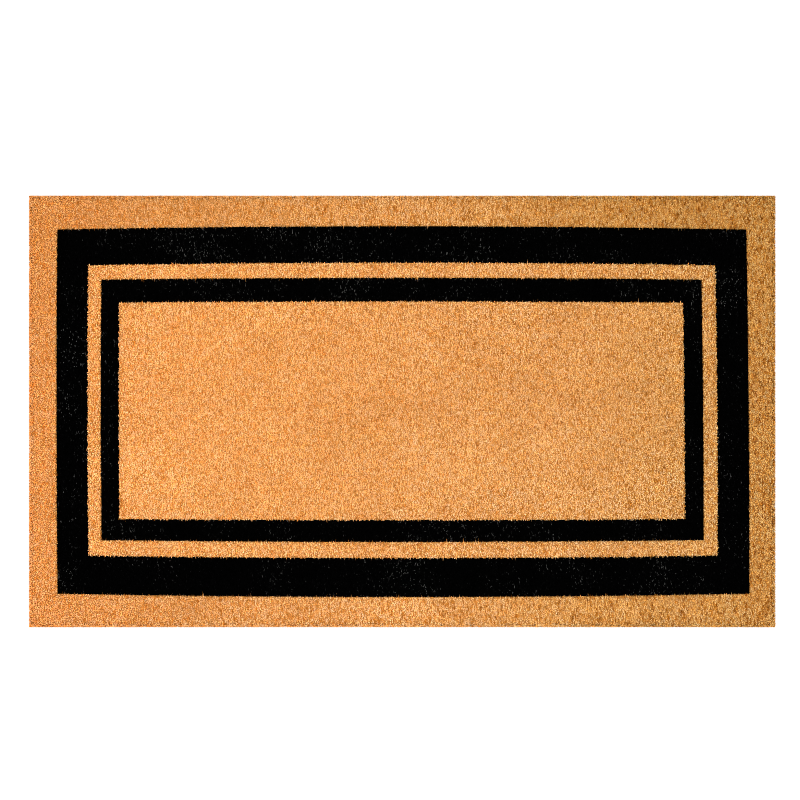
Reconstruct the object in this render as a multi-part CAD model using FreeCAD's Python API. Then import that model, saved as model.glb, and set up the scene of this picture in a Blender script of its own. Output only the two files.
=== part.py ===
"""Coir door mat: a vinyl backing with coir pile standing in it, and a double frame printed on the pile.

Millimetres, +Z up. The origin is on the floor under the mat's centre, and +X runs along the long side.
Each sub-part is written to parts/NODE.step.
"""

import FreeCAD, Part
import os

# Driving dimensions.
MAT_LENGTH = 737.0
MAT_DEPTH = 426.0
MAT_HEIGHT = 15.0
BACKING_THICKNESS = 3.0

# The frame is printed through a stencil, and four printed lines part its zones. Each pair is the width
# of one zone from the outside in: across the short sides, then across the long sides.
BORDER_WIDTHS = (25.9, 29.4)
OUTER_BAND_WIDTHS = (31.4, 37.6)
MIDDLE_BAND_WIDTHS = (13.1, 15.2)
INNER_BAND_WIDTHS = (18.6, 22.8)

# How far the middle of each printed line sits from the mat's centre, because the stencil gives in use.
LINE_OFFSETS = ((0.4, -0.2), (0.2, 1.0), (-0.2, 1.5), (-0.6, 0.6))

# A printed line bows outwards between its corners, the outer lines most, and the right-hand side of
# the print leans more than the left-hand side.
OUTER_LINE_BOW = 3.3
LINE_BOW_STEP = 0.75
SHORT_SIDE_BOW_SHARE = 0.3
LEFT_LEAN = 0.001
RIGHT_LEAN = 0.008

PILE_HEIGHT = MAT_HEIGHT - BACKING_THICKNESS
CORNER_SIGNS = ((-1, -1), (1, -1), (1, 1), (-1, 1))


def vector(x, y, z):
    return FreeCAD.Vector(x, y, z)


def block(low, height):
    """A closed box of the mat's length and depth, centred on the origin in X and Y."""
    corner = vector(-MAT_LENGTH / 2, -MAT_DEPTH / 2, low)
    return Part.makeBox(MAT_LENGTH, MAT_DEPTH, height, corner)


def printed_point(x, y, offset):
    """A point of a printed line at the pile's foot, moved by its side's lean and by the line's offset."""
    lean = RIGHT_LEAN if x > 0 else LEFT_LEAN if x < 0 else 0.0
    return vector(x - lean * y + offset[0], y + offset[1], BACKING_THICKNESS)


def printed_slab(half_length, half_depth, bow, offset):
    """The pile inside one printed line: four corners joined by shallow arcs, as high as the pile.

    half_length and half_depth reach to the middle of a side, where its bow is fullest.
    """
    short_bow = bow * SHORT_SIDE_BOW_SHARE
    corners = [
        printed_point(sx * (half_length - short_bow), sy * (half_depth - bow), offset)
        for sx, sy in CORNER_SIGNS
    ]
    middles = [
        printed_point(0, -half_depth, offset),
        printed_point(half_length, 0, offset),
        printed_point(0, half_depth, offset),
        printed_point(-half_length, 0, offset),
    ]
    sides = zip(corners, middles, corners[1:] + corners[:1])
    arcs = [Part.Arc(start, middle, end).toShape() for start, middle, end in sides]
    return Part.Face(Part.Wire(arcs)).extrude(vector(0, 0, PILE_HEIGHT))


def printed_slabs():
    """The slab inside each printed line, from the outside in."""
    widths = (BORDER_WIDTHS, OUTER_BAND_WIDTHS, MIDDLE_BAND_WIDTHS, INNER_BAND_WIDTHS)
    half_length = MAT_LENGTH / 2
    half_depth = MAT_DEPTH / 2
    slabs = []
    for line, (short_side, long_side) in enumerate(widths):
        half_length -= short_side
        half_depth -= long_side
        bow = OUTER_LINE_BOW - line * LINE_BOW_STEP
        slabs.append(printed_slab(half_length, half_depth, bow, LINE_OFFSETS[line]))
    return slabs


def vinyl_backing():
    """The flat vinyl sheet that the pile's roots are fused into."""
    return block(0, BACKING_THICKNESS)


def pile_zones():
    """The pile by printed colour: each ring is the slab inside one line less the slab inside the next."""
    slabs = [block(BACKING_THICKNESS, PILE_HEIGHT), *printed_slabs()]
    rings = ("border_pile", "outer_band_pile", "middle_band_pile", "inner_band_pile")
    zones = {name: slabs[i].cut(slabs[i + 1]) for i, name in enumerate(rings)}
    zones["centre_pile"] = slabs[-1]
    return zones


def main():
    os.makedirs("parts", exist_ok=True)
    nodes = {"vinyl_backing": vinyl_backing(), **pile_zones()}
    for name, shape in nodes.items():
        assert len(shape.Solids) == 1 and shape.isValid(), name
        shape.Solids[0].exportStep(f"parts/{name}.step")
        print(f"{name}: {shape.Volume / 1e6:.3f} litres")


main()
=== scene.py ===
# Coir door mat: stands the coir in its vinyl backing, dyes the frame into the tips and lights it.
import math

import bpy
import numpy as np
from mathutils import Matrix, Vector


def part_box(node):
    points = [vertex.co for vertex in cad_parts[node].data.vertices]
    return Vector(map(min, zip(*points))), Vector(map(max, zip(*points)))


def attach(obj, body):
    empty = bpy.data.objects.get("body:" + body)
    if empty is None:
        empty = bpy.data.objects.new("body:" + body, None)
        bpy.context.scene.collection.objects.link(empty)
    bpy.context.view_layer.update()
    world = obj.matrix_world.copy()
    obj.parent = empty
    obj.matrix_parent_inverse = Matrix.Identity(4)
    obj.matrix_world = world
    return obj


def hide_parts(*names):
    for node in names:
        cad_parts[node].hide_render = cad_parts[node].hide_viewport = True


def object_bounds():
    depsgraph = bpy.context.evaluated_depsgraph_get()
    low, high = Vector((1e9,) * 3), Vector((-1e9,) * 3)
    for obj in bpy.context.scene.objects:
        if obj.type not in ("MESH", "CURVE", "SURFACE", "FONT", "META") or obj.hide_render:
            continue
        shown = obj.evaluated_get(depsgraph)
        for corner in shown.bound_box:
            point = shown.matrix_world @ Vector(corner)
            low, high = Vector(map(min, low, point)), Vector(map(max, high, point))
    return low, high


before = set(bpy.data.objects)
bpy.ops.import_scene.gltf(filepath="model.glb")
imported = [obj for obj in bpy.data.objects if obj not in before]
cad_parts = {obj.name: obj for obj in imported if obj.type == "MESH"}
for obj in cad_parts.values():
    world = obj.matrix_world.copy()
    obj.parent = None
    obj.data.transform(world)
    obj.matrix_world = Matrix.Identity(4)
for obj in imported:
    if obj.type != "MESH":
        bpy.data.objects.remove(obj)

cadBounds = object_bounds()
scene = bpy.context.scene
rng = np.random.default_rng(417)
mm = 0.001

# The mat's outline and levels, in metres, as the frame holds them.
matLow, matHigh = (np.array(corner) for corner in cadBounds)
halfLength, halfDepth = (matHigh - matLow)[:2] / 2
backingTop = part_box("vinyl_backing")[1].z
pileTop = matHigh[2]


def rimOf(node):
    # The rim of a node's top face, as directed edges: those that no other triangle of the face runs
    # back along. Seen from above, an outer rim runs anticlockwise and a hole's rim clockwise.
    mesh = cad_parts[node].data
    places = np.empty(len(mesh.vertices) * 3, np.float32)
    mesh.vertices.foreach_get("co", places)
    places = places.reshape(-1, 3)
    mesh.calc_loop_triangles()
    corners = np.empty(len(mesh.loop_triangles) * 3, np.int32)
    mesh.loop_triangles.foreach_get("vertices", corners)
    corners = corners.reshape(-1, 3)
    onTop = (places[corners][:, :, 2] > places[:, 2].max() - 0.01 * mm).all(1)
    points, same = np.unique(np.round(places[:, :2], 6), axis=0, return_inverse=True)
    triangles = same.reshape(-1)[corners[onTop]]
    starts = triangles.ravel()
    ends = np.roll(triangles, -1, axis=1).ravel()
    free = ~np.isin(starts * len(points) + ends, ends * len(points) + starts)
    return points[starts[free]], points[ends[free]]


def outerRim(node):
    # The outer rim's points in order round the centre, which every printed line goes round once.
    starts, ends = rimOf(node)
    outer = starts[:, 0] * ends[:, 1] - starts[:, 1] * ends[:, 0] > 0
    points = starts[outer]
    return points[np.argsort(np.arctan2(points[:, 1], points[:, 0]))]


zones = ["border_pile", "outer_band_pile", "middle_band_pile", "inner_band_pile", "centre_pile"]
rims = [outerRim(node) for node in zones]


def isInside(x, y, rim):
    # Even-odd rule: a point is inside a rim if a line from it towards +X crosses the rim an odd
    # number of times.
    x0, y0 = rim.T[:, :, None]
    x1, y1 = np.roll(rim, -1, axis=0).T[:, :, None]
    spans = (y0 > y) != (y1 > y)
    rise = np.where(y1 == y0, 1, y1 - y0)
    return (spans & (x < x0 + (y - y0) * (x1 - x0) / rise)).sum(0) % 2 == 1


def zoneAt(x, y):
    # How many printed lines a place lies inside: 0 is the border and 4 the centre.
    return sum(isInside(x, y, rim).astype(int) for rim in rims[1:])


def sidesOf(rim, steps):
    # A rim as four sides, front, right, back and left, each with its points evenly along it.
    signs = np.array([(-1, -1), (1, -1), (1, 1), (-1, 1)])
    corners = [int(np.argmax(rim @ sign)) for sign in signs]
    sides = []
    for first, last in zip(corners, corners[1:] + corners[:1]):
        run = np.arange(first, last + 1 if last > first else last + 1 + len(rim)) % len(rim)
        side = rim[run]
        along = np.r_[0, np.cumsum(np.hypot(*np.diff(side, axis=0).T))]
        at = np.linspace(0, along[-1], steps + 1)
        sides.append(np.c_[np.interp(at, along, side[:, 0]), np.interp(at, along, side[:, 1])])
    return sides


class Wire:
    # A socket of a node tree. Sums, differences and products of wires add Math nodes.
    def __init__(self, tree, socket=None):
        self.tree = tree
        self.socket = socket

    def node(self, kind, settings=None, sockets=None, out=0):
        # Any node: its type, its settings, set first, and the values or links of its sockets.
        made = self.tree.nodes.new(kind)
        for name, value in (settings or {}).items():
            if name == "stops":
                ramp = made.color_ramp.elements
                for place, colour in value[2:]:
                    ramp.new(place)
                for element, (place, colour) in zip(ramp, value):
                    element.position = place
                    element.color = (*colour, 1)
            else:
                setattr(made, name, value)
        for name, value in (sockets or {}).items():
            if isinstance(value, Wire):
                self.tree.links.new(value.socket, made.inputs[name])
            else:
                made.inputs[name].default_value = value
        return Wire(self.tree, made.outputs[out])

    def mixed(self, share, first, second):
        # The colour Mix: its sockets for colours are the seventh and eighth, and its third output.
        sockets = {0: share, 6: first, 7: second}
        return self.node("ShaderNodeMix", {"data_type": "RGBA"}, sockets, out=2)

    def maths(self, operation, *values):
        return self.node("ShaderNodeMath", {"operation": operation}, dict(enumerate(values)))

    def __add__(self, other):
        return self.maths("ADD", self, other)

    def __sub__(self, other):
        return self.maths("SUBTRACT", self, other)

    def __rsub__(self, other):
        return self.maths("SUBTRACT", other, self)

    def __mul__(self, other):
        return self.maths("MULTIPLY", self, other)

    __radd__ = __add__
    __rmul__ = __mul__


def newMaterial(name, roughness, specular):
    # A material with one Principled shader. Returns it, its shader's sockets and a wire to build on.
    material = bpy.data.materials.new(name)
    material.use_nodes = True
    shader = material.node_tree.nodes["Principled BSDF"]
    shader.inputs["Roughness"].default_value = roughness
    shader.inputs["Specular IOR Level"].default_value = specular
    return material, shader.inputs, Wire(material.node_tree)


def plug(wire, socket):
    wire.tree.links.new(wire.socket, socket)


def noise(wire, places, perMetre, detail=2.0):
    # Noise from 0 to 1, with about the given number of blots in a metre.
    sockets = {"Vector": places, "Scale": perMetre, "Detail": detail}
    return wire.node("ShaderNodeTexNoise", None, sockets)


def ramp(wire, value, *stops):
    return wire.node("ShaderNodeValToRGB", {"stops": stops}, {"Fac": value})


def multiplied(wire, first, second):
    # The product of two colours, channel by channel.
    return wire.node("ShaderNodeVectorMath", {"operation": "MULTIPLY"}, {0: first, 1: second})


naturalLook = {
    "roots": (0.40, 0.16, 0.035),  # painted shade: the colour the fibres turn where they go down into the dark
    "tones": [  # from the darkest fibre to the palest, with its share of the fibres below it
        (0.0, (0.05, 0.008, 0.0004)),
        (0.15, (0.24, 0.045, 0.002)),
        (0.29, (0.63, 0.22, 0.025)),
        (0.48, (0.87, 0.45, 0.155)),
        (0.8, (0.92, 0.52, 0.235)),
        (1.0, (0.95, 0.59, 0.335)),
    ],
    "streaks": 0.3,  # how far a fibre's tone wanders along it
    "streaksPerMetre": 2600,
    "huesPerMetre": 250,  # the husk turns redder and greener in turn
    "redder": (1.09, 0.97, 0.74),
    "greener": (0.91, 1.03, 1.26),
    "blotchesPerMetre": 18.18,  # and darker and paler, more widely
    "darkBlotch": (0.945, 0.915, 0.88),
    "paleBlotch": (1.045, 1.07, 1.10),
    "roughness": 0.85,
    "specular": 0.0,
}

# How the coir's tone drifts from left to right and from front to back, as a share of its own colour.
# From left to right it is partly the husk's own drift and partly painted light, paler on the left
# and darker to the right.
fieldDriftAndPaintedLight = {
    "spread": (0.68, 0.93),  # how far apart the tones lie, on the left and on the right
    "across": [
        (0.08, (1.10, 1.045, 1.04)),
        (0.3, (1.045, 1.015, 1.0)),
        (0.5, (0.97, 0.975, 1.0)),
        (0.7, (0.915, 0.955, 0.985)),
        (0.92, (0.81, 0.895, 0.85)),
    ],
    "upward": [
        (0.0, (1.02, 1.04, 1.07)),
        (0.4, (1.01, 1.02, 1.03)),
        (0.52, (0.97, 0.95, 0.92)),
        (0.6, (1.0, 0.99, 0.97)),
        (1.0, (1.0, 1.02, 1.03)),
    ],
}
borderDriftAndPaintedLight = {
    "spread": (0.55, 0.98),
    "across": [
        (0.0, (0.93, 0.775, 0.665)),
        (0.2, (0.86, 0.805, 0.75)),
        (0.5, (0.925, 0.945, 0.94)),
        (0.75, (0.75, 0.785, 0.64)),
        (1.0, (0.645, 0.66, 0.47)),
    ],
    "upward": [(0.0, (1.03, 1.04, 1.1)), (0.5, (1.0, 0.99, 1.0)), (1.0, (0.9, 0.89, 0.85))],
}


def shareOver(wire, places):
    # Where a place lies from the mat's left side to its right and from front to back, each 0 to 1.
    parts = wire.node("ShaderNodeSeparateXYZ", None, {"Vector": places})
    x = parts * (0.5 / halfLength) + 0.5
    y = Wire(wire.tree, parts.socket.node.outputs["Y"]) * (0.5 / halfDepth) + 0.5
    return x, y


def coirMaterial(name, look, drift):
    # Dry coconut fibre: each fibre has its own tone between brown, gold and pale, which wanders a
    # little along it, and it darkens towards its root, a painted shade deep in the pile. Its hue and
    # tone drift over the mat, from left to right partly its own drift and partly painted light.
    material, sockets, wire = newMaterial(name, look["roughness"], look["specular"])
    places = wire.node("ShaderNodeTexCoord", out="Object")
    tone = wire.node("ShaderNodeAttribute", {"attribute_name": "tone"}, out="Fac")
    height = wire.node("ShaderNodeAttribute", {"attribute_name": "height"}, out="Fac")
    streak = noise(wire, places, look["streaksPerMetre"])
    x, y = shareOver(wire, places)
    near, far = drift["spread"]
    tone = (tone - 0.5) * (x * (far - near) + near) + 0.5
    body = ramp(wire, tone + (streak - 0.5) * look["streaks"], *look["tones"])
    # Painted shade: by the height attribute, the colour runs towards the roots' dark, down in the
    # pile.
    shade = wire.mixed(height, (*look["roots"], 1), body)
    blotch = ramp(
        wire, noise(wire, places, look["blotchesPerMetre"], 3),
        (0.3, look["darkBlotch"]), (0.7, look["paleBlotch"]),
    )
    shade = multiplied(wire, shade, blotch)
    hue = ramp(
        wire, noise(wire, places, look["huesPerMetre"]),
        (0.35, look["redder"]), (0.65, look["greener"]),
    )
    shade = multiplied(wire, shade, hue)
    # Left to right: partly the husk's own drift, partly painted light, paler left and darker right.
    shade = multiplied(wire, shade, ramp(wire, x, *drift["across"]))
    plug(multiplied(wire, shade, ramp(wire, y, *drift["upward"])), sockets["Base Color"])
    return material


blackLook = {
    "tones": [  # only the palest few fibres show, as grey flecks of painted glint
        (0.0, (0.0001, 0.0001, 0.0001)),
        (0.8, (0.0006, 0.0006, 0.0006)),
        (0.92, (0.003, 0.003, 0.003)),
        (0.97, (0.012, 0.012, 0.0115)),
        (1.0, (0.07, 0.07, 0.066)),
    ],
    "glints": 0.4,  # painted glints: how far a clump of fibres strays from the tone of its neighbours
    "glintsPerMetre": 330,
    "glintPatches": 0.5,  # and a wider stretch, with more painted glints
    "glintPatchesPerMetre": 22,
    "frontLess": 0.03,  # how much less the front shows its painted glints
    "roughness": 0.9,
    "specular": 0.0,
}


def blackMaterial(name, look):
    # Coir dyed matt black from its tip down, with the odd grey fibre as a painted glint: more of them
    # in places, and towards the back.
    material, sockets, wire = newMaterial(name, look["roughness"], look["specular"])
    tone = wire.node("ShaderNodeAttribute", {"attribute_name": "tone"}, out="Fac")
    places = wire.node("ShaderNodeTexCoord", out="Object")
    glint = (noise(wire, places, look["glintsPerMetre"]) - 0.5) * look["glints"]
    glintPatches = (noise(wire, places, look["glintPatchesPerMetre"], 3) - 0.5) * look["glintPatches"]
    backward = (shareOver(wire, places)[1] - 1) * look["frontLess"]
    plug(ramp(wire, tone + glint + glintPatches + backward, *look["tones"]), sockets["Base Color"])
    return material


bedLook = {
    "natural": ((0.16, 0.06, 0.012), (0.5, 0.22, 0.05)),  # its dark and its light, darker than the standing fibres as painted shade low in the pile
    "black": ((0.0001, 0.0001, 0.0001), (0.0005, 0.0005, 0.0005)),
    "tanglesPerMetre": 900,
}


def bedMaterial(name, dark, light):
    # The tangle of fibre low in the pile, seen only through gaps. The natural bed's colours are darker
    # than the fibres' own, as painted shade.
    material, sockets, wire = newMaterial(name, 1.0, 0.0)
    places = wire.node("ShaderNodeTexCoord", out="Object")
    tangle = noise(wire, places, bedLook["tanglesPerMetre"], 4)
    plug(ramp(wire, tangle, (0.3, dark), (0.7, light)), sockets["Base Color"])
    plug(
        wire.node("ShaderNodeBump", None, {"Strength": 0.6, "Distance": mm, "Height": tangle}),
        sockets["Normal"],
    )
    return material


vinylLook = {
    "dark": (0.016, 0.015, 0.014),
    "light": (0.035, 0.033, 0.031),
    "cloudsPerMetre": 30,
    "grainsPerMetre": 1400,
    "specular": 0.4,
}


def vinylMaterial(name, look):
    # Dark vinyl, cast against a release sheet that leaves a fine grain.
    material, sockets, wire = newMaterial(name, 0.55, look["specular"])
    places = wire.node("ShaderNodeTexCoord", out="Object")
    cloudy = noise(wire, places, look["cloudsPerMetre"], 4)
    grain = noise(wire, places, look["grainsPerMetre"])
    plug(ramp(wire, cloudy, (0.3, look["dark"]), (0.7, look["light"])), sockets["Base Color"])
    plug(cloudy * 0.2 + grain * 0.15 + 0.4, sockets["Roughness"])
    plug(
        wire.node("ShaderNodeBump", None, {"Strength": 0.5, "Distance": 0.3 * mm, "Height": grain}),
        sockets["Normal"],
    )
    return material


def addMesh(name, points, faces, material, attributes=None, uvs=None, smooth=False):
    # faces is a list of arrays, one for each count of corners, each a row of point numbers a face.
    mesh = bpy.data.meshes.new(name)
    corners = np.concatenate([rows.ravel() for rows in faces]).astype(np.int32)
    sizes = np.concatenate([np.full(len(rows), rows.shape[1]) for rows in faces])
    mesh.vertices.add(len(points))
    mesh.vertices.foreach_set("co", points.astype(np.float32).ravel())
    mesh.loops.add(len(corners))
    mesh.loops.foreach_set("vertex_index", corners)
    mesh.polygons.add(len(sizes))
    mesh.polygons.foreach_set("loop_start", (np.cumsum(sizes) - sizes).astype(np.int32))
    for key, values in (attributes or {}).items():
        layer = mesh.attributes.new(key, "FLOAT", "POINT")
        layer.data.foreach_set("value", values.astype(np.float32))
    if uvs is not None:
        layer = mesh.uv_layers.new(name=uvs[0])
        layer.data.foreach_set("uv", uvs[1].astype(np.float32).ravel())
    mesh.polygons.foreach_set("use_smooth", np.full(len(sizes), smooth))
    mesh.update(calc_edges=True)
    mesh.validate()
    mesh.materials.append(material)
    piece = bpy.data.objects.new(name, mesh)
    scene.collection.objects.link(piece)
    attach(piece, "root")
    return piece


def spokes(roots, tips):
    # Three unit vectors for each fibre, 120 degrees apart and square to its line from root to tip,
    # turned at random about it.
    count = len(roots)
    ahead = (tips - roots) / np.linalg.norm(tips - roots, axis=1, keepdims=True)
    turn = rng.uniform(0, 2 * math.pi, count)
    sideways = np.cross(ahead, np.stack([np.cos(turn), np.sin(turn), np.zeros(count)], -1))
    sideways /= np.linalg.norm(sideways, axis=1, keepdims=True)
    upward = np.cross(ahead, sideways)
    angles = (np.arange(3) * 2 * math.pi / 3)[None, :, None]
    return sideways[:, None, :] * np.cos(angles) + upward[:, None, :] * np.sin(angles)


def cellsOf(count):
    # The unit square as a grid with a cell for each fibre: each cell's sides, inside a clear margin.
    columns = math.ceil(math.sqrt(count))
    cell = np.arange(count)
    left, bottom = cell % columns, cell // columns
    near, far = (left + 0.2) / columns, (left + 0.8) / columns
    return near, far, (bottom + 0.15) / columns, (bottom + 0.85) / columns


def addPrisms(name, roots, tips, width, tone, material, shades):
    # Fibres as one mesh, each a closed three-sided prism: its corners stand 0.55 * width from the
    # root and 0.43 * width from the tip. On the flat map a fibre has a cell of its own, shared by
    # its three sides, and its two ends are specks at the cell's foot and head.
    count = len(roots)
    around = spokes(roots, tips) * width[:, None, None]
    points = np.stack([roots[:, None] + around * 0.55, tips[:, None] + around * 0.43], 1)
    first = (np.arange(count) * 6)[:, None]
    side = np.arange(3)[None, :]
    after = (side + 1) % 3
    quads = first[:, :, None] + np.stack([side, after, 3 + after, 3 + side], -1)
    foot = first + np.array([2, 1, 0])
    head = first + np.array([3, 4, 5])
    left, right, bottom, top = cellsOf(count)
    wall = np.stack([left, bottom, right, bottom, right, top, left, top], -1)
    maps = [np.repeat(wall[:, None], 3, axis=1).reshape(-1, 2)]
    for level, drawn in ((bottom, 0.1), (top, -0.1)):
        inner = level + drawn * (top - bottom)
        speck = np.stack([left, level, right, level, (left + right) / 2, inner], -1)
        maps.append(speck.reshape(-1, 2))
    # The shades paint shade along each fibre, from its root to its tip.
    return addMesh(
        name, points.reshape(-1, 3), [quads.reshape(-1, 4), foot, head], material,
        {"tone": np.repeat(tone, 6), "height": np.tile(np.repeat(shades, 3), count)},
        ("OFBake", np.concatenate(maps)),
    )


def addTufts(name, roots, tips, width, tone, material, rootShade, tipShade):
    # Standing fibres as one mesh, each a closed solid of four triangles: a cut end, its corners
    # width / 2 from the tip, and three sides that run down to a point at the root.
    count = len(roots)
    corners = tips[:, None, :] + spokes(roots, tips) * width[:, None, None] / 2
    points = np.concatenate([corners, roots[:, None, :]], axis=1).reshape(-1, 3)
    shape = np.array([(0, 1, 2), (1, 0, 3), (2, 1, 3), (0, 2, 3)])
    faces = (np.arange(count)[:, None, None] * 4 + shape[None]).reshape(-1, 3)
    left, right, bottom, top = cellsOf(count)
    middle, below = (left + right) / 2, top - 0.1 * (top - bottom)
    side = np.stack([right, top, left, top, middle, bottom], -1)
    speck = np.stack([left, top, right, top, middle, below], -1)
    # Painted shade at each corner: tipShade at the cut end, rootShade at the root.
    heights = np.column_stack([tipShade] * 3 + [np.full(count, rootShade)]).ravel()
    return addMesh(
        name, points, [faces], material, {"tone": np.repeat(tone, 4), "height": heights},
        ("OFBake", np.stack([speck, side, side, side], 1).reshape(-1, 2)),
    )


def sweep(name, loops, closedPath, material, smooth=True):
    # A closed skin through loops of points: loops[i] is the i-th closed section along a path, which
    # either joins up with its start or is capped at both ends.
    steps, size = loops.shape[:2]
    at = np.arange(steps if closedPath else steps - 1)[:, None]
    around = np.arange(size)[None, :]
    here, there = at * size, (at + 1) % steps * size
    nextOne = (around + 1) % size
    quads = np.stack([here + around, here + nextOne, there + nextOne, there + around], -1)
    faces = [quads.reshape(-1, 4)]
    if not closedPath:
        faces += [np.arange(size)[None, ::-1], np.arange(size)[None] + (steps - 1) * size]
    return addMesh(name, loops.reshape(-1, 3), faces, material, smooth=smooth)


backing = {
    "edgeRound": 0.4 * mm,
    "waver": 0.15 * mm,  # how far the knife's cut wanders
    "pointsAcross": 143,  # about one for each 3 mm
    "pointsAlong": 246,
}


def buildBacking(material):
    # The vinyl sheet: a rounded rectangular section of the mat's depth, carried from the left cut edge
    # to the right one.
    print("backing: the vinyl sheet")
    across = np.linspace(-1, 1, backing["pointsAcross"])
    edge = backing["edgeRound"]
    low = np.stack([across * (halfDepth - edge), np.zeros_like(across)], -1)
    high = np.stack([across[::-1] * (halfDepth - edge), np.full_like(across, backingTop)], -1)
    right = np.array([(halfDepth, edge), (halfDepth, backingTop - edge)])
    left = np.array([(-halfDepth, backingTop - edge), (-halfDepth, edge)])
    section = np.concatenate([low, right, high, left])
    between = np.linspace(-halfLength + edge, halfLength - edge, backing["pointsAlong"])
    stations = np.r_[-halfLength, between, halfLength]
    loops = np.empty((len(stations), len(section), 3))
    loops[:, :, 0] = stations[:, None]
    loops[:, :, 1] = section[None, :, 0]
    loops[:, :, 2] = section[None, :, 1]
    # The two end sections draw in by the round of the edge.
    for end in (0, -1):
        loops[end, :, 1] *= 1 - edge / halfDepth
        loops[end, :, 2] = np.clip(loops[end, :, 2], edge, backingTop - edge)
    wander = backing["waver"] * np.sin(stations * 43) * np.sin(stations * 17 + 1)
    atEdge = np.abs(section[:, 0]) > halfDepth - 2 * edge
    loops[:, atEdge, 1] -= np.abs(wander)[:, None] * np.sign(section[atEdge, 0])[None]
    sheet = sweep("vinyl_sheet", loops, False, material)
    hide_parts("vinyl_backing")
    return sheet


bed = {
    "top": 7.5 * mm,
    "bumps": 0.4 * mm,
    "pitch": 3.5 * mm,
    "fieldPitch": 5 * mm,
    "setBack": 2.2 * mm,  # from the mat's cut edge, to leave room for the fibres that show there
    "join": 0.05 * mm,  # left between two beds
}


def bumpsAt(x, y):
    # An uneven top, as the sum of eight waves in random directions with 6 to 20 mm between crests.
    waves = np.random.default_rng(5)
    total = np.zeros_like(x)
    for _ in range(8):
        turn, phase = waves.uniform(0, 2 * math.pi, 2)
        rate = 2 * math.pi / waves.uniform(6 * mm, 20 * mm)
        total += np.sin((x * math.cos(turn) + y * math.sin(turn)) * rate + phase)
    return total / 8


def bedTop(x, y):
    return bed["top"] + bed["bumps"] * bumpsAt(x, y) * 2


def ringBed(name, outer, inner, material):
    # A ring-shaped bed: its section, two walls, a foot and a bumpy top between an outer and an inner
    # rim, goes round the mat and joins up.
    steps = [round(2 * half / bed["pitch"]) for half in (halfLength, halfDepth)] * 2
    outerPath, innerPath = (
        np.concatenate([sidesOf(rim, count)[i][:-1] for i, count in enumerate(steps)])
        for rim in (outer, inner)
    )
    width = np.hypot(*(outerPath - innerPath).T).mean()
    share = np.linspace(0, 1, max(4, round(width / bed["pitch"])))
    inset = bed["join"] / width
    share = inset + share * (1 - 2 * inset)
    # From the outer foot, up, across the top to the inner side and down to the inner foot.
    across = np.r_[share[0], share, share[-1]]
    flat = outerPath[:, None, :] + (innerPath - outerPath)[:, None, :] * across[None, :, None]
    z = bedTop(flat[:, :, 0], flat[:, :, 1])
    z[:, [0, -1]] = backingTop
    return sweep(name, np.dstack([flat, z])[:, ::-1], True, material)


def fieldBed(name, rim, material):
    # The centre's bed: rows between the front and back sides of its rim, each bent to meet the left
    # and right sides, as a closed section carried from front to back.
    columns, rows = (round(2 * half / bed["fieldPitch"]) for half in (halfLength, halfDepth))
    front, right, back, left = (sidesOf(rim, n)[i] for i, n in enumerate((columns, rows) * 2))
    back, left = back[::-1], left[::-1]
    u = np.linspace(0, 1, columns + 1)[None, :, None]
    v = np.linspace(0, 1, rows + 1)[:, None, None]
    corners = (
        front[0] * (1 - u) * (1 - v) + front[-1] * u * (1 - v)
        + back[0] * (1 - u) * v + back[-1] * u * v
    )
    flat = front[None] * (1 - v) + back[None] * v + left[:, None] * (1 - u) + right[:, None] * u
    flat = (flat - corners) * (1 - bed["join"] / halfDepth)
    z = bedTop(flat[:, :, 0], flat[:, :, 1])
    top = np.dstack([flat, z])
    foot = top[:, ::-1].copy()
    foot[:, :, 2] = backingTop
    return sweep(name, np.concatenate([foot, top], axis=1), False, material)


def buildBeds(natural, black):
    print("low pile: one bed for each zone")
    edge = 1 - bed["setBack"] / np.array([halfLength, halfDepth])
    outlines = [rims[0] * edge, *rims[1:]]
    for i, node in enumerate(zones):
        material = black if i in (1, 3) else natural
        name = node.replace("_pile", "_low_pile")
        if i < 4:
            piece = ringBed(name, outlines[i], outlines[i + 1], material)
        else:
            piece = fieldBed(name, outlines[i], material)
        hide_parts(node)


pile = {
    "naturalPerSquareMm": 1.2,
    "blackPerSquareMm": 0.6,
    "mostInOne": 26000,  # fibres in one piece
    "width": (0.45 * mm, 0.9 * mm),
    "leanX": 0.09,  # spread of a fibre's lean, as sideways travel for its height
    "leanY": 0.26,
    "longestLean": 1.2,
    "rootAt": 6.5 * mm,
    "shorn": 0.2 * mm,  # the tallest fibres' tips below the pile's top
    "tipDrop": 0.9 * mm,  # how unevenly the shears left the tips
    "pivot": 0.25,  # a fibre leans about this share of its height, down from its tip
    "raggedLine": 0.3 * mm,  # how far dye strays past a printed line
    "rootShade": 0.1,  # painted shade: how light the fibres stay down at their roots, in the field and, next, in the border
    "borderRootShade": 0.4,
    "edgeOverhang": -0.05 * mm,  # past the cut sides
    "edgeShade": 0.25,  # painted shade: how much duller the tips are at the cut sides
    "edgeShadeReach": 1.5 * mm,
}


def scatter(perSquareMm):
    # A square grid of places over the mat, each moved at random within its own cell.
    cell = mm / math.sqrt(perSquareMm)
    x, y = np.meshgrid(
        np.arange(-halfLength + cell / 2, halfLength, cell),
        np.arange(-halfDepth + cell / 2, halfDepth, cell),
    )
    places = np.stack([x.ravel(), y.ravel()], -1)
    return places + rng.uniform(-cell / 2, cell / 2, places.shape)


def tipHeights(count):
    return pileTop - pile["shorn"] - np.abs(rng.normal(0, pile["tipDrop"], count))


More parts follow.
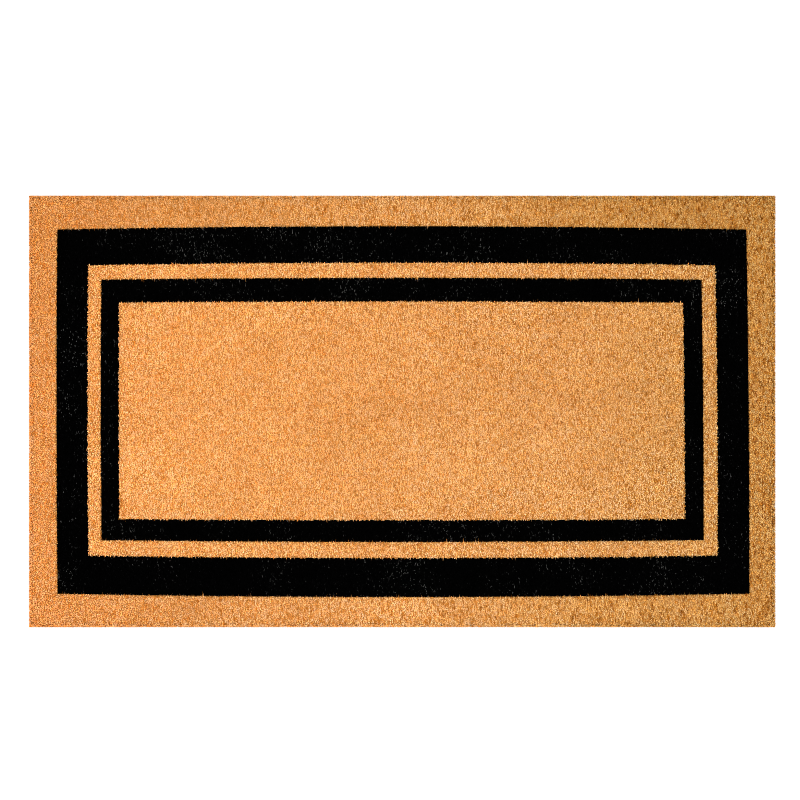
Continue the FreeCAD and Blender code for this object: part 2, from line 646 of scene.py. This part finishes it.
def standingFibres(places):
    # Tips stand over the given places; the roots lie back along a random lean.
    count = len(places)
    lean = rng.normal(0, (pile["leanX"], pile["leanY"]), (count, 2))
    steep = np.hypot(*lean.T)
    lean *= (np.minimum(steep, pile["longestLean"]) / np.maximum(steep, 1e-6))[:, None]
    tipHeight = tipHeights(count)
    travel = lean * (tipHeight - pile["rootAt"])[:, None]
    limit = np.array([halfLength, halfDepth]) + pile["edgeOverhang"]
    tips = np.clip(places + travel * pile["pivot"], -limit, limit)
    roots = np.clip(places - travel * (1 - pile["pivot"]), -limit + mm, limit - mm)
    return (
        np.c_[roots, np.full(count, pile["rootAt"])],
        np.c_[tips, tipHeight],
        rng.uniform(*pile["width"], count),
    )


def tipShades(tips):
    # Painted shade: 1 in the field, falling by edgeShade * exp(-d / edgeShadeReach) at a distance d
    # from a cut side.
    inside = np.maximum((np.array([halfLength, halfDepth]) - np.abs(tips[:, :2])).min(1), 0)
    return 1 - pile["edgeShade"] * np.exp(-inside / pile["edgeShadeReach"])


tuft = {
    "field": (0.75 * mm, 1.9 * mm),  # a tuft's size from left to right and from front to back
    "border": (1.1 * mm, 3.0 * mm),
    "ownShare": 0.2,  # how much of a fibre's tone is its own and not its tuft's
}
tuftTable = rng.uniform(0, 1, (1024, 1024))


def tuftTones(tips, across, along):
    # The fibres of one tuft are nearly alike: a tone for each cell of a grid, its columns slipped at
    # random past one another, mixed with a tone for each fibre.
    column = np.floor(tips[:, 0] / across).astype(int)
    row = np.floor(tips[:, 1] / along + tuftTable[0, column]).astype(int)
    shared = tuftTable[row, column]
    return shared + (rng.uniform(0, 1, len(tips)) - shared) * tuft["ownShare"]


def buildPile(materials):
    print("pile: the standing fibres of each zone")
    seen = {True: scatter(pile["blackPerSquareMm"]), False: scatter(pile["naturalPerSquareMm"])}
    for i, node in enumerate(zones):
        isBlack = i in (1, 3)
        places = seen[isBlack]
        strayed = places + rng.normal(0, pile["raggedLine"], places.shape)
        here = places[zoneAt(*strayed.T) == i]
        parts = math.ceil(len(here) / pile["mostInOne"])
        rootShade = pile["borderRootShade" if i == 0 else "rootShade"]
        order = np.argsort(here[:, 1], kind="stable")
        for part, rows in enumerate(np.array_split(order, parts)):
            roots, tips, width = standingFibres(here[rows])
            name = node.replace("_pile", "_fibres") + (f"_{part + 1}" if parts > 1 else "")
            size = tuft["border" if i == 0 else "field"]
            tone = rng.uniform(0, 1, len(tips)) if isBlack else tuftTones(tips, *size)
            piece = addTufts(name, roots, tips, width, tone, materials[i], rootShade, tipShades(tips))
            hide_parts(node)
            print(f"  {name}: {len(rows)} fibres")


cutEdge = {
    "spacing": 0.4 * mm,
    "rows": 3,
    "depth": 2.4 * mm,  # how far in from the cut the rows reach
    "lean": 0.07,
    "sunk": 0.4 * mm,  # how deep the roots stand in the vinyl
    "shades": (0.3, 0.5),  # painted shade, at the root and at the tip
}


def buildCutEdges(natural):
    # Fibres that stand full height in rows along the four sides, where the knife has bared them.
    print("cut edges: full-height fibres along the four sides")
    turns = {"front": (0, -1), "right": (1, 0), "back": (0, 1), "left": (-1, 0)}
    for name, (outX, outY) in turns.items():
        length, reach = (halfLength, halfDepth) if outY else (halfDepth, halfLength)
        count = int(2 * length / cutEdge["spacing"]) * cutEdge["rows"]
        along = rng.uniform(-length, length, count)
        inward = reach - rng.uniform(0, 1, count) ** 2 * cutEdge["depth"]
        lean = rng.normal(0, cutEdge["lean"], (count, 2))
        tipHeight = tipHeights(count)
        rise = tipHeight - backingTop
        rootHeight = np.full(count, backingTop - cutEdge["sunk"])
        tipAlong = np.clip(along + lean[:, 0] * rise * 2, -length, length)
        tipInward = np.minimum(inward + lean[:, 1] * rise, reach + pile["edgeOverhang"])
        if outY:
            roots = np.c_[along, outY * inward, rootHeight]
            tips = np.c_[tipAlong, outY * tipInward, tipHeight]
        else:
            roots = np.c_[outX * inward, along, rootHeight]
            tips = np.c_[outX * tipInward, tipAlong, tipHeight]
        width = rng.uniform(*pile["width"], count)
        tone = rng.uniform(0, 1, count)
        piece = addPrisms(
            f"cut_edge_{name}", roots, tips, width, tone, natural, cutEdge["shades"]
        )
        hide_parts("border_pile")


studio = {
    "frameWidth": 0.7898,  # what the camera sees across, at the top of the pile
    "aim": (-0.0022, 0.0113),
    "cameraHeight": 3.0,
    "sky": 1.0,
    "softbox": 270.0,
    "softboxSize": 1.4,
    "softboxAt": (0.0, 0.0, 3.4),  # above the camera, so that every side is lit alike
    "floorReach": 8.0,
    "floorShade": 0.33,
    "floorGlow": [(0.0, 0.28), (0.15, 0.3), (0.4, 0.55), (0.8, 0.7)],  # by its share of the reach
}


def buildFloor():
    # The floor glows a little, more so further out, where the softbox reaches it less.
    mesh = bpy.data.meshes.new("floor")
    reach = studio["floorReach"]
    mesh.from_pydata(
        [(-reach, -reach, 0), (reach, -reach, 0), (reach, reach, 0), (-reach, reach, 0)],
        [], [(0, 1, 2, 3)],
    )
    floor = bpy.data.objects.new("floor", mesh)
    scene.collection.objects.link(floor)
    material, sockets, wire = newMaterial("paleFloor", 0.9, 0.2)
    places = wire.node("ShaderNodeTexCoord", out="Object")
    sockets["Base Color"].default_value = (*[studio["floorShade"]] * 3, 1)
    away = wire.node("ShaderNodeVectorMath", {"operation": "LENGTH"}, {0: places}, out="Value")
    glow = ramp(wire, away * (1 / reach), *((at, (glow,) * 3) for at, glow in studio["floorGlow"]))
    plug(glow, sockets["Emission Color"])
    sockets["Emission Strength"].default_value = 1
    mesh.materials.append(material)


def buildStudio():
    print("studio: floor, sky, softbox and camera")
    buildFloor()
    world = bpy.data.worlds.new("studioSky")
    scene.world = world
    world.use_nodes = True
    world.node_tree.nodes["Background"].inputs["Color"].default_value = (1, 1, 1, 1)
    world.node_tree.nodes["Background"].inputs["Strength"].default_value = studio["sky"]
    lamp = bpy.data.lights.new("softbox", "AREA")
    lamp.shape = "DISK"
    lamp.size = studio["softboxSize"]
    lamp.energy = studio["softbox"]
    softbox = bpy.data.objects.new("softbox", lamp)
    softbox.location = studio["softboxAt"]
    toMat = -softbox.location
    softbox.rotation_euler = toMat.to_track_quat("-Z", "Y").to_euler()
    scene.collection.objects.link(softbox)
    lens = bpy.data.cameras.new("camera")
    lens.sensor_width = 36
    lens.lens = 36 * (studio["cameraHeight"] - pileTop) / studio["frameWidth"]
    camera = bpy.data.objects.new("camera", lens)
    camera.location = (*studio["aim"], studio["cameraHeight"])
    scene.collection.objects.link(camera)
    scene.camera = camera
    scene.view_settings.view_transform = "Standard"
    scene.view_settings.look = "None"
    scene.cycles.filter_width = 1.0
    scene.cycles.denoising_prefilter = "NONE"  # so that the grain of the fibres isn't smoothed away


borderCoir = coirMaterial("borderCoir", naturalLook, borderDriftAndPaintedLight)
fieldCoir = coirMaterial("fieldCoir", naturalLook, fieldDriftAndPaintedLight)
blackCoir = blackMaterial("blackCoir", blackLook)
buildBacking(vinylMaterial("vinyl", vinylLook))
buildBeds(
    bedMaterial("naturalLowPile", *bedLook["natural"]),
    bedMaterial("blackLowPile", *bedLook["black"]),
)
buildPile([borderCoir, blackCoir, fieldCoir, blackCoir, fieldCoir])
buildCutEdges(borderCoir)
buildStudio()

print("ready")
